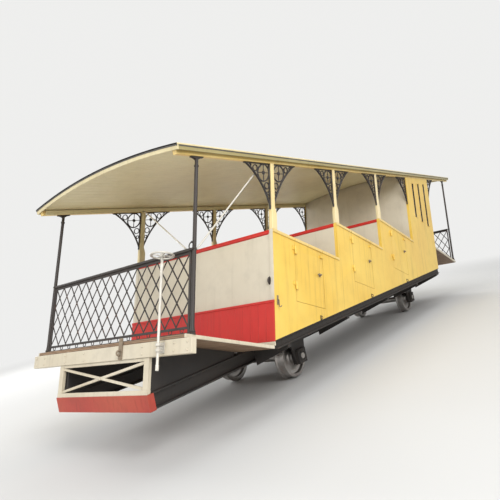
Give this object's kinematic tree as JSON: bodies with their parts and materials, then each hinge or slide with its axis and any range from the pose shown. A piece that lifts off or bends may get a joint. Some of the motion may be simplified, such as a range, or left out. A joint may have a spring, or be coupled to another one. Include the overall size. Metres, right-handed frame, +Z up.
{
  "type": "funicular car",
  "caption": "Open-sided stepped railway car for an inclined line: three half-open compartments, an end cab, two open platforms and an arched roof on two wheelsets.",
  "frame": {"origin": "centre of the footprint on the plane that the wheels stand on", "axes": "+X uphill along the chassis, +Y to the car's left, +Z up from the wheels; the body's floors and posts are turned by the line's slope of 18.8 degrees"},
  "size_m": [10.6156, 2.65, 3.0117],
  "materials": {
    "chassis_black": "matt black paint, dusty",
    "wheel_steel": "worn steel with bright treads",
    "red_paint": "gloss red paint",
    "yellow_paint": "gloss golden yellow paint",
    "frame_paint": "golden yellow posts and cantrails with dark iron brackets",
    "white_paint": "satin white paint",
    "cream_paint": "satin cream paint",
    "roof_felt": "dark painted canvas",
    "dark_iron": "dark painted iron",
    "pale_metal": "pale painted rod",
    "floor_wood": "worn boards",
    "bench_wood": "varnished boards"
  },
  "bodies": {
    "car": {"main_beam_right": "chassis_black", "main_beam_left": "chassis_black", "headstock_upper": "chassis_black", "cross_member_1": "chassis_black", "cross_member_2": "chassis_black", "sole_bar_right": "chassis_black", "sole_bar_left": "chassis_black", "cable_socket": "wheel_steel", "headstock_lower": "red_paint", "front_skirt": "red_paint", "side_boarding_right": "yellow_paint", "side_boarding_left": "yellow_paint", "side_frame_right": "frame_paint", "side_frame_left": "frame_paint", "front_wall": "white_paint", "partition_2": "white_paint", "partition_3": "white_paint", "cab_front_wall": "white_paint", "cab_rear_wall": "white_paint", "cab_hinge_1": "white_paint", "cab_hinge_2": "white_paint", "buffer_beam": "cream_paint", "platform_frame": "cream_paint", "roof_boards": "cream_paint", "eave_trim": "cream_paint", "roof_covering": "roof_felt", "front_column_right": "dark_iron", "front_column_left": "dark_iron", "rear_column_right": "dark_iron", "rear_column_left": "dark_iron", "front_railing": "dark_iron", "rear_railing": "dark_iron", "tow_hook": "dark_iron", "brake_column": "pale_metal", "brake_handwheel": "pale_metal", "roof_stay_side": "pale_metal", "roof_stay_cross": "pale_metal", "floor_1": "floor_wood", "floor_2": "floor_wood", "floor_3": "floor_wood", "cab_floor": "floor_wood", "front_platform": "floor_wood", "rear_platform": "floor_wood", "bench_1_lower": "bench_wood", "bench_1_upper": "bench_wood", "bench_2_lower": "bench_wood", "bench_2_upper": "bench_wood", "bench_3_lower": "bench_wood", "bench_3_upper": "bench_wood"},
    "wheelset_lower": {"wheelset_lower": "wheel_steel"},
    "wheelset_upper": {"wheelset_upper": "wheel_steel"},
    "cab_door": {"cab_door": "white_paint"},
    "door_right_1": {"door_right_1": "yellow_paint"},
    "door_right_2": {"door_right_2": "yellow_paint"},
    "door_right_3": {"door_right_3": "yellow_paint"},
    "door_left_1": {"door_left_1": "yellow_paint"},
    "door_left_2": {"door_left_2": "yellow_paint"},
    "door_left_3": {"door_left_3": "yellow_paint"}
  },
  "joints": [
    {"name": "wheelset_lower_turn", "type": "hinge", "parent": "car", "child": "wheelset_lower", "pos_m": [-2.59747, 0, 0.3], "axis": [0, 1, 0], "continuous": true},
    {"name": "wheelset_upper_turn", "type": "hinge", "parent": "car", "child": "wheelset_upper", "pos_m": [2.15219, 0, 0.3], "axis": [0, 1, 0], "continuous": true},
    {"name": "door_right_1_swing", "type": "hinge", "parent": "car", "child": "door_right_1", "pos_m": [-3.26038, -1.2643, 1.09831], "axis": [-0.3223, 0, -0.9466], "range_deg": [0, 90]},
    {"name": "door_right_2_swing", "type": "hinge", "parent": "car", "child": "door_right_2", "pos_m": [-1.57021, -1.2643, 1.09831], "axis": [-0.3223, 0, -0.9466], "range_deg": [0, 90]},
    {"name": "door_right_3_swing", "type": "hinge", "parent": "car", "child": "door_right_3", "pos_m": [0.11996, -1.2643, 1.09831], "axis": [-0.3223, 0, -0.9466], "range_deg": [0, 90]},
    {"name": "door_left_1_swing", "type": "hinge", "parent": "car", "child": "door_left_1", "pos_m": [-3.26038, 1.2643, 1.09831], "axis": [0.3223, 0, 0.9466], "range_deg": [0, 90]},
    {"name": "door_left_2_swing", "type": "hinge", "parent": "car", "child": "door_left_2", "pos_m": [-1.57021, 1.2643, 1.09831], "axis": [0.3223, 0, 0.9466], "range_deg": [0, 90]},
    {"name": "door_left_3_swing", "type": "hinge", "parent": "car", "child": "door_left_3", "pos_m": [0.11996, 1.2643, 1.09831], "axis": [0.3223, 0, 0.9466], "range_deg": [0, 90]},
    {"name": "cab_door_swing", "type": "hinge", "parent": "car", "child": "cab_door", "pos_m": [2.82317, 0.31, 1.26367], "axis": [-0.3223, 0, -0.9466], "range_deg": [0, 90]}
  ]
}
